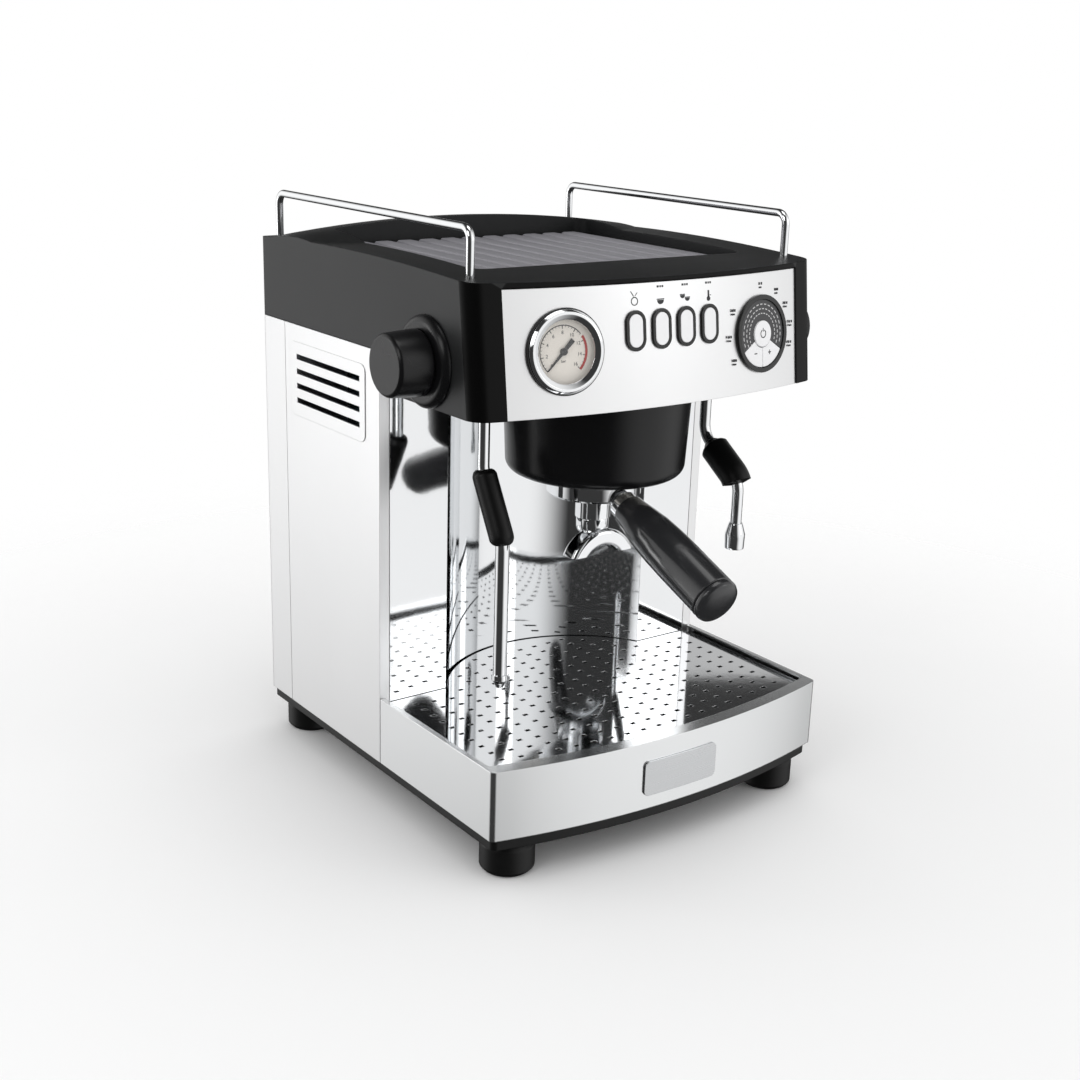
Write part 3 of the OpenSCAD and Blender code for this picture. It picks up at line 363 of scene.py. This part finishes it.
def rounded_copy(node, material, width):
    """A copy of a CAD node with its sharp edges rounded, width in mm, that stands for the node."""
    source = NODES[node]
    bm = bmesh.new()
    bm.from_mesh(source.data)
    bmesh.ops.remove_doubles(bm, verts=bm.verts, dist=WELD)
    bmesh.ops.dissolve_limit(bm, angle_limit=math.radians(FLAT_ANGLE), verts=bm.verts, edges=bm.edges)
    limit = math.radians(SHARP_ANGLE)
    sharp = [e for e in bm.edges if len(e.link_faces) == 2 and e.calc_face_angle(0) > limit]
    bmesh.ops.bevel(bm, geom=sharp, offset=width * MM, segments=2, profile=0.5, affect="EDGES",
                    clamp_overlap=True)
    mesh = close_mesh(bm, node + "_skin", 32)
    piece = add_object(node + "_skin", mesh, material, source["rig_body"], replaced=(node,))
    weighted = piece.modifiers.new("weighted", "WEIGHTED_NORMAL")
    weighted.keep_sharp = True
    return piece


def tube(name, path, radii, material, body, replaced=(), sides=28):
    """A closed round tube through path, in metres, with a radius at each point."""
    bm = bmesh.new()
    rings = []
    count = len(path)
    across = Vector((1, 0, 0))
    for i, point in enumerate(path):
        ahead = (path[min(i + 1, count - 1)] - path[max(i - 1, 0)]).normalized()
        side = (across - across.dot(ahead) * ahead).normalized()
        other = ahead.cross(side)
        rings.append([bm.verts.new(point + radii[i] * (math.cos(2 * math.pi * k / sides) * side
                                                       + math.sin(2 * math.pi * k / sides) * other))
                      for k in range(sides)])
    join_rings(bm, rings)
    return add_object(name, close_mesh(bm, name, 50), material, body, replaced)


def join_rings(bm, rings):
    """Skins a list of equal rings and caps its two ends."""
    count = len(rings[0])
    for a, b in zip(rings, rings[1:]):
        for k in range(count):
            j = (k + 1) % count
            bm.faces.new((a[k], a[j], b[j], b[k]))
    bm.faces.new(rings[0][::-1])
    bm.faces.new(rings[-1])


def revolve(bm, profile, place, sides=64):
    """Turns a profile of (radius, height) points, in mm, from axis to axis, about +Z."""
    top = bm.verts.new(place @ Vector((0, 0, profile[-1][1] * MM)))
    bottom = bm.verts.new(place @ Vector((0, 0, profile[0][1] * MM)))
    turns = [2 * math.pi * k / sides for k in range(sides)]
    rings = [[bm.verts.new(place @ (Vector((r * math.cos(a), r * math.sin(a), z)) * MM)) for a in turns]
             for r, z in profile[1:-1]]
    for k in range(sides):
        j = (k + 1) % sides
        bm.faces.new((bottom, rings[0][j], rings[0][k]))
        bm.faces.new((top, rings[-1][k], rings[-1][j]))
        for a, b in zip(rings, rings[1:]):
            bm.faces.new((a[k], a[j], b[j], b[k]))


def filleted(points, radius, steps=10):
    """The polyline through points with its corners rounded."""
    out = [points[0]]
    for before, corner, after in zip(points, points[1:], points[2:]):
        a, b = (before - corner).normalized(), (after - corner).normalized()
        half = a.angle(b) / 2
        reach = min(radius / math.tan(half), 0.45 * (before - corner).length, 0.45 * (after - corner).length)
        start, end = corner + a * reach, corner + b * reach
        for i in range(steps + 1):
            t = i / steps
            out.append((1 - t) ** 2 * start + 2 * t * (1 - t) * corner + t ** 2 * end)
    out.append(points[-1])
    return out


def resampled(points, step):
    """Points at an even spacing along a polyline."""
    out = [points[0].copy()]
    for a, b in zip(points, points[1:]):
        length = (b - a).length
        parts = max(1, round(length / step))
        out += [a.lerp(b, k / parts) for k in range(1, parts + 1)]
    return out


# ---------- Finishes on the CAD nodes ----------

SLOTS = {row["node"]: row["material_slot"] for row in frame["record"]["subparts"]}
OWN_FINISH = {"fascia": "fascia_steel", "tray_front": "tray_steel"}

for node, slot in SLOTS.items():
    NODES[node].data.materials.clear()
    NODES[node].data.materials.append(M[OWN_FINISH.get(node, slot)])


# ---------- Rounded stand-ins for the CAD nodes ----------

# (node, finish, width of the rounding in mm)
ROUNDED = [
    ("top_shell", "shell_plastic", 0.8), ("base_pan", "base_plastic", 0.8), ("feet", "foot_rubber", 0.8),
    # the cup tray's plate gets the painted shade black, so the grooves between the ribs show dark
    ("cup_tray", "painted_shade_black", 0.4), ("group_cover", "cover_black", 0.6), ("steam_knob", "cover_black", 0.8),
    ("water_knob", "cover_black", 0.8), ("knob_escutcheons", "cover_black", 0.6),
    ("portafilter_body", "chrome", 0.5),
    ("portafilter_handle", "handle_plastic", 0.4), ("handle_cap", "handle_plastic", 0.4),
    ("gauge_can", "gauge_black", 0.3), ("gauge_bezel", "chrome", 0.2), ("button_bezels", "bezel_black", 0.3),
    ("dial_bezel", "bezel_black", 0.3), ("dial_ring", "dial_grey", 0.25),
    ("power_button", "button_white", 0.5), ("one_cup_button", "button_white", 0.5),
    ("two_cup_button", "button_white", 0.5), ("steam_button", "button_white", 0.5),
    ("dial_centre_button", "button_white", 0.4), ("dial_minus_button", "button_white", 0.3),
    ("dial_plus_button", "button_white", 0.3), ("wand_sockets", "chrome", 0.3),
    ("steam_nozzle", "chrome", 0.3), ("water_nozzle", "chrome", 0.4), ("badge_plate", "badge_metal", 0.3),
    ("case_screws", "screw_steel", 0.2), ("power_inlet", "inlet_plastic", 0.5),
]
for node, finish_name, width in ROUNDED:
    skin = rounded_copy(node, M[finish_name], width)
    if node == "top_shell":
        # Faces that look forwards below the tray frame get painted shade: a darker, less shiny copy of the
        # shell plastic
        skin.data.materials.append(M["painted_shade_black"])
        for polygon in skin.data.polygons:
            polygon.material_index = int(polygon.normal.y < -0.12 and polygon.center.z < 0.4)


def cup_tray_ribs():
    """Rounded ribs over the cup tray's plate, which is painted black as painted shade in the grooves between
    them.
    """
    bm = bmesh.new()
    right = [(4.6, 1.8), (6.0, 1.6), (6.9, 1.0), (7.2, 0)]
    outline = [(-x, y) for x, y in reversed(right)] + right
    pitch, plate_z, back, front = 0.0195, 0.39865, -127.3, 49.3
    for i in range(-5, 6):
        place = Matrix.Translation((i * pitch, 0, plate_z)) @ Matrix.Rotation(math.radians(90), 4, "X")
        prism(bm, outline, place, back, front)
    mesh = close_mesh(bm, "cup_tray_ribs", 40)
    add_object("cup_tray_ribs", mesh, M["tray_metal"], "cup_tray")


def spout():
    """The twin spout: half a ring of rounded section under a short stem, cut level at its two mouths."""
    centre, cut, rise = Vector((0, -0.050, 0.1785)), 12.0, 72
    middle, half, depth, corner = 24.0, 6.5, 8.0, 4.0
    section = []
    for a0, cx, cy in ((0, half - corner, depth - corner), (90, corner - half, depth - corner),
                       (180, corner - half, corner - depth), (270, half - corner, corner - depth)):
        section += arc_points(corner, a0, a0 + 90, 6, middle + cx, cy)
    bm = bmesh.new()
    rings = []
    for i in range(rise + 1):
        ring = []
        for r, y in section:
            start = math.asin(cut / r)
            a = start + (math.pi - 2 * start) * i / rise
            ring.append(bm.verts.new(centre + Vector((r * math.cos(a), y, r * math.sin(a))) * MM))
        rings.append(ring)
    join_rings(bm, rings)
    stem = [(0, 25), (9.0, 25), (11.2, 27), (12, 29.5), (12, 36.2), (11.4, 37.4), (0, 37.4)]
    revolve(bm, stem, Matrix.Translation((0, -0.042, 0.1785)))
    add_object("twin_spout", close_mesh(bm, "twin_spout", 40), M["chrome"], "portafilter",
               ("portafilter_spout",))


cup_tray_ribs()
spout()


# ---------- Wands ----------

WAND_Y, WAND_X, BALL_Z = -0.047, 0.101, 0.306
STEP = 0.0015


def wand_route(x, bends, tip_z, radius):
    """Down from the ball, across between two bends given as (y, z), and down to the tip."""
    low_y = bends[1][0]
    return filleted([Vector((x, WAND_Y, BALL_Z - 0.0036)), Vector((x, WAND_Y, bends[0][1])),
                     Vector((x, low_y, bends[1][1])), Vector((x, low_y, tip_z))], radius)


def ease(t):
    """Smooth step from 0 to 1."""
    t = min(1.0, max(0.0, t))
    return t * t * (3 - 2 * t)


def steam_wand():
    path = resampled(wand_route(-WAND_X, ((WAND_Y, 0.264), (-0.072, 0.220)), 0.123, 0.022), STEP)
    radii = [0.0042 + 0.0008 * ease((0.235 - p.z) / 0.02) for p in path]
    tube("steam_wand_tube", path, radii, M["chrome"], "steam_arm", ("steam_wand",))
    grip = [p for p in path if 0.2165 <= p.z <= 0.2655]
    count = len(grip) - 1
    ends = [min(i, count - i) / count for i in range(count + 1)]
    radii = [0.0058 + 0.0029 * math.sqrt(min(1.0, e / 0.09)) for e in ends]
    tube("steam_wand_sleeve", grip, radii, M["grip_rubber"], "steam_arm", ("steam_wand_grip",))


def water_wand():
    path = resampled(wand_route(WAND_X, ((WAND_Y, 0.267), (-0.088, 0.239)), 0.2069, 0.018), STEP)
    tube("water_wand_tube", path, [0.0042] * len(path), M["chrome"], "water_arm", ("water_wand",))
    total = [0.0]
    for a, b in zip(path, path[1:]):
        total.append(total[-1] + (b - a).length)
    first = next(i for i, p in enumerate(path) if p.z < 0.262)
    last = next(i for i, p in enumerate(path) if p.y < -0.0862)
    grip = path[first:last + 1]
    count = len(grip) - 1
    radii = []
    for i in range(count + 1):
        along = total[first + i] - total[first]
        shoulder = ease((along - 0.002) / 0.004)
        end = math.sqrt(min(1.0, (total[last] - total[first] - along) / 0.0012))
        radii.append(0.0046 + (0.0018 + 0.0046 * shoulder) * min(1.0, 0.25 + along / 0.001) * end)
    tube("water_wand_sleeve", grip, radii, M["grip_rubber"], "water_arm", ("water_wand_grip",))
    ball = bmesh.new()
    bmesh.ops.create_uvsphere(ball, u_segments=32, v_segments=20, radius=0.0065,
                              matrix=Matrix.Translation((WAND_X, WAND_Y, BALL_Z)))
    add_object("water_wand_ball", close_mesh(ball, "water_wand_ball"), M["chrome"], "water_arm")


steam_wand()
water_wand()


# ---------- Printed marks ----------

GAUGE_START, GAUGE_SWEEP, SCALE_R = 225, 270, 17.2


def gauge_angle(part):
    """Angle of a place on the gauge's scale, which runs from 0 to 1."""
    return GAUGE_START - GAUGE_SWEEP * part


def gauge_face():
    """A plain scale of 0 to 16 with a red end."""
    place = on_fascia(*GAUGE)
    ticks, numbers = 32, 8
    dark = [band(16.6, SCALE_R, GAUGE_START, 40, 40)]
    for i in range(ticks + 1):
        inner, width = (14.6, 0.5) if i % 4 == 0 else (15.6, 0.25)
        angle = gauge_angle(i / ticks)
        dark.append(bar(*polar(inner, angle), *polar(SCALE_R, angle), width))
    marks("gauge_scale", dark, place, -2.84, -2.68, M["ink_dark"], "machine")
    red = [band(16.2, 17.9, 33, -45, 24)]
    marks("gauge_red_arc", red, place, -2.82, -2.6, M["ink_red"], "machine")
    texts = [(str(2 * i), *polar(12.2, gauge_angle(i / numbers))) for i in range(numbers + 1)]
    numerals("gauge_numbers", texts, place, -2.72, 3.3, M["ink_dark"], "machine")
    numerals("gauge_unit", [("bar", 0, -6.2)], place, -2.72, 2.6, M["ink_dark"], "machine")


def icons():
    """Plain pictograms over the keys: a steam ring, one cup, two cups, a temperature stick."""
    icon_s, caption_s = 0.0712, 0.0700
    steam = [band(2.2, 2.9, 0, 180, 16), band(2.2, 2.9, 180, 360, 16),
             bar(-0.6, 3.2, -3.0, 6.6, 0.6), bar(0.4, 3.4, 2.4, 5.6, 0.5)]
    cup = [rectangle(-3.2, -0.2, 3.2, 0.5), arc_points(2.9, 180, 360, 16, 0, -0.4)]
    cups = [arc_points(2.2, 180, 360, 14, -2.3, 1.6), arc_points(2.2, 180, 360, 14, 2.0, -0.4),
            rectangle(-4.6, 1.7, 0, 2.3), rectangle(-0.3, -0.3, 4.3, 0.3)]
    stick = [rectangle(-0.8, -1.4, 0.8, 3.4), arc_points(1.7, 0, 360, 18, 0, -2.2)[:-1],
             rectangle(1.2, -0.2, 2.4, 0.4)]
    dashes = [rectangle(-3.0, 9.0, -1.2, 10.4), rectangle(-0.6, 9.0, 0.6, 10.4),
              rectangle(1.2, 9.0, 2.6, 10.4)]
    keys = zip(("power", "one_cup", "two_cup", "steam"), BUTTON_X, (steam, cup, cups, stick))
    for name, x, outlines in keys:
        marks("icon_" + name, outlines, on_fascia(x, icon_s), -0.04, 0.06, M["ink_dark"], "machine")
        if name != "power":
            marks("caption_" + name, dashes, on_fascia(x, caption_s), -0.04, 0.05, M["ink_dark"],
                  "machine")


def dial_marks():
    """Dashes round the dial, light-grey painted highlights standing for the relief of its ring, and the
    signs on its three keys.
    """
    place = on_fascia(*DIAL)
    outlines = []
    for a in (90, 58, 33, 8, -17, 150, 182, 212):
        x, y = polar(34.5, a)[0], polar(33.5, a)[1]
        outlines += [rectangle(x - 2.2, y + 0.5, x - 0.4, y + 2.3),
                     rectangle(x + 0.3, y + 0.5, x + 2.0, y + 2.3),
                     rectangle(x - 2.0, y - 1.9, x + 1.2, y - 0.7)]
    marks("dial_marks", outlines, place, -0.06, 0.06, M["ink_dark"], "machine")
    # Three staggered rows of light-grey dashes on the ring: painted highlights standing for its relief
    half, middle_row = 0.35, 17.4
    rings = []
    for r in (14.2, middle_row, 20.6):
        for k in range(20):
            a = -20 + 12 * k - (6 if r == middle_row else 0)
            rings.append(band(r - half, r + half, a, a + 7, 4))
    clear_of_keys = [ring for ring in rings if all(y > -9.5 or abs(x) > 20 for x, y in ring)]
    marks("dial_painted_highlights", clear_of_keys, place, 0.96, 1.08, M["painted_highlight_grey"], "machine")
    centre = [band(2.4, 3.1, 115, 425, 24), rectangle(-half, 1.4, half, 4.0)]
    minus, plus = polar(15.6, 240), polar(15.6, 300)
    across, upright = (1.6, half), (half, 1.6)
    signs = (("centre", centre, 1.97, 2.08), ("minus", [stroke(*minus, *across)], 1.27, 1.38),
             ("plus", [stroke(*plus, *across), stroke(*plus, *upright)], 1.27, 1.38))
    for key, shapes, low, high in signs:
        marks(key + "_sign", shapes, place, low, high, M["ink_dark"], key + "_key")


gauge_face()
icons()
dial_marks()


# ---------- Floor, light ----------

def math_node(nodes, links, kind, *values):
    """A maths node on numbers or on other nodes' outputs."""
    node = nodes.new("ShaderNodeMath")
    node.operation = kind
    for socket, value in zip(node.inputs, values):
        if isinstance(value, float):
            socket.default_value = value
        else:
            links.new(value, socket)
    return node.outputs[0]


def fade(nodes, links, value, low, high, at_low, at_high):
    """Eases from at_low to at_high while value goes from low to high."""
    node = nodes.new("ShaderNodeMapRange")
    node.interpolation_type = "SMOOTHSTEP"
    for socket, number in zip(("From Min", "From Max", "To Min", "To Max"), (low, high, at_low, at_high)):
        node.inputs[socket].default_value = number
    links.new(value, node.inputs["Value"])
    return node.outputs["Result"]


def make_stage():
    """A pale paper floor that fades into the white surroundings away from the machine."""
    bm = bmesh.new()
    bmesh.ops.create_circle(bm, cap_ends=True, segments=96, radius=1.5)
    mesh = bpy.data.meshes.new("floor")
    bm.to_mesh(mesh)
    bm.free()
    floor = bpy.data.objects.new("floor", mesh)
    material, nodes, links = new_material("floor_paper")
    shader = nodes["Principled BSDF"]
    shader.inputs["Base Color"].default_value = (0.95, 0.95, 0.95, 1)
    shader.inputs["Roughness"].default_value = 0.9
    shader.inputs["Specular IOR Level"].default_value = 0.1
    place = nodes.new("ShaderNodeTexCoord")
    away = nodes.new("ShaderNodeVectorMath")
    away.operation = "LENGTH"
    links.new(place.outputs["Object"], away.inputs[0])
    links.new(fade(nodes, links, away.outputs["Value"], 0.42, 0.95, 1.0, 0.0), shader.inputs["Alpha"])
    mesh.materials.append(material)
    bpy.context.scene.collection.objects.link(floor)
    floor.visible_glossy = False


# What polished surfaces see: (direction, bright within, dark beyond, strength), in degrees
STUDIO = [
    ((0.62, -0.76, 0.10), 28, 64, 1.0),
    ((-0.60, 0.76, 0.10), 18, 52, 1.08),
    ((-0.92, -0.05, 0.42), 9, 15, 1.3),
    ((0.15, -0.2, 1.0), 14, 30, 0.6),
    ((0.95, 0.25, 0.15), 8, 18, 0.8),
]
STUDIO_DARK = 0.04


def make_world():
    """White all round, and for reflections a dark studio with bright walls."""
    world = bpy.data.worlds.new("studio")
    bpy.context.scene.world = world
    world.use_nodes = True
    nodes, links = world.node_tree.nodes, world.node_tree.links
    white = nodes["Background"]
    white.inputs["Color"].default_value = (1, 1, 1, 1)
    mirrored = nodes.new("ShaderNodeBackground")
    mirrored.inputs["Color"].default_value = (1, 1, 1, 1)
    direction = nodes.new("ShaderNodeTexCoord")
    total = None
    for axis, inner, outer, strength in STUDIO:
        towards = nodes.new("ShaderNodeVectorMath")
        towards.operation = "DOT_PRODUCT"
        towards.inputs[1].default_value = Vector(axis).normalized()
        links.new(direction.outputs["Generated"], towards.inputs[0])
        lobe = fade(nodes, links, towards.outputs["Value"], math.cos(math.radians(outer)),
                    math.cos(math.radians(inner)), 0.0, strength)
        total = lobe if total is None else math_node(nodes, links, "MAXIMUM", total, lobe)
    links.new(math_node(nodes, links, "MAXIMUM", total, STUDIO_DARK), mirrored.inputs["Strength"])
    path = nodes.new("ShaderNodeLightPath")
    mix = nodes.new("ShaderNodeMixShader")
    diffuse = fade(nodes, links, path.outputs["Is Camera Ray"], 0.0, 1.0, 0.86, 1.0)
    links.new(diffuse, white.inputs["Strength"])
    links.new(path.outputs["Is Glossy Ray"], mix.inputs[0])
    links.new(white.outputs[0], mix.inputs[1])
    links.new(mirrored.outputs[0], mix.inputs[2])
    links.new(mix.outputs[0], nodes["World Output"].inputs["Surface"])


def softbox(name, place, aim, width, height, radiance):
    """A rectangular lamp, as bright to look at as radiance says, hidden from the camera."""
    data = bpy.data.lights.new(name, "AREA")
    data.shape = "RECTANGLE"
    data.size, data.size_y = width, height
    data.energy = radiance * math.pi * width * height
    light = bpy.data.objects.new(name, data)
    light.location = place
    light.rotation_euler = (Vector(aim) - Vector(place)).to_track_quat("-Z", "Y").to_euler()
    light.visible_camera = False
    bpy.context.scene.collection.objects.link(light)


make_stage()
make_world()
softbox("key_left", (-1.9, -0.6, 1.5), (0, 0, 0.25), 0.8, 1.0, 2.2)
softbox("key_right", (1.4, -1.9, 1.1), (0, 0, 0.25), 0.7, 1.2, 1.2)
softbox("overhead", (0.1, -0.2, 2.2), (0, 0, 0), 1.2, 0.9, 1.3)
softbox("strip_left", (-1.35, 1.15, 0.35), (0, -0.1, 0.2), 0.22, 1.1, 3.6)
softbox("low_card", (0.80, 0.95, 0.38), (0.1, -0.05, 0.1), 1.2, 0.40, 0.5)

view = bpy.context.scene.view_settings
view.view_transform = "Standard"
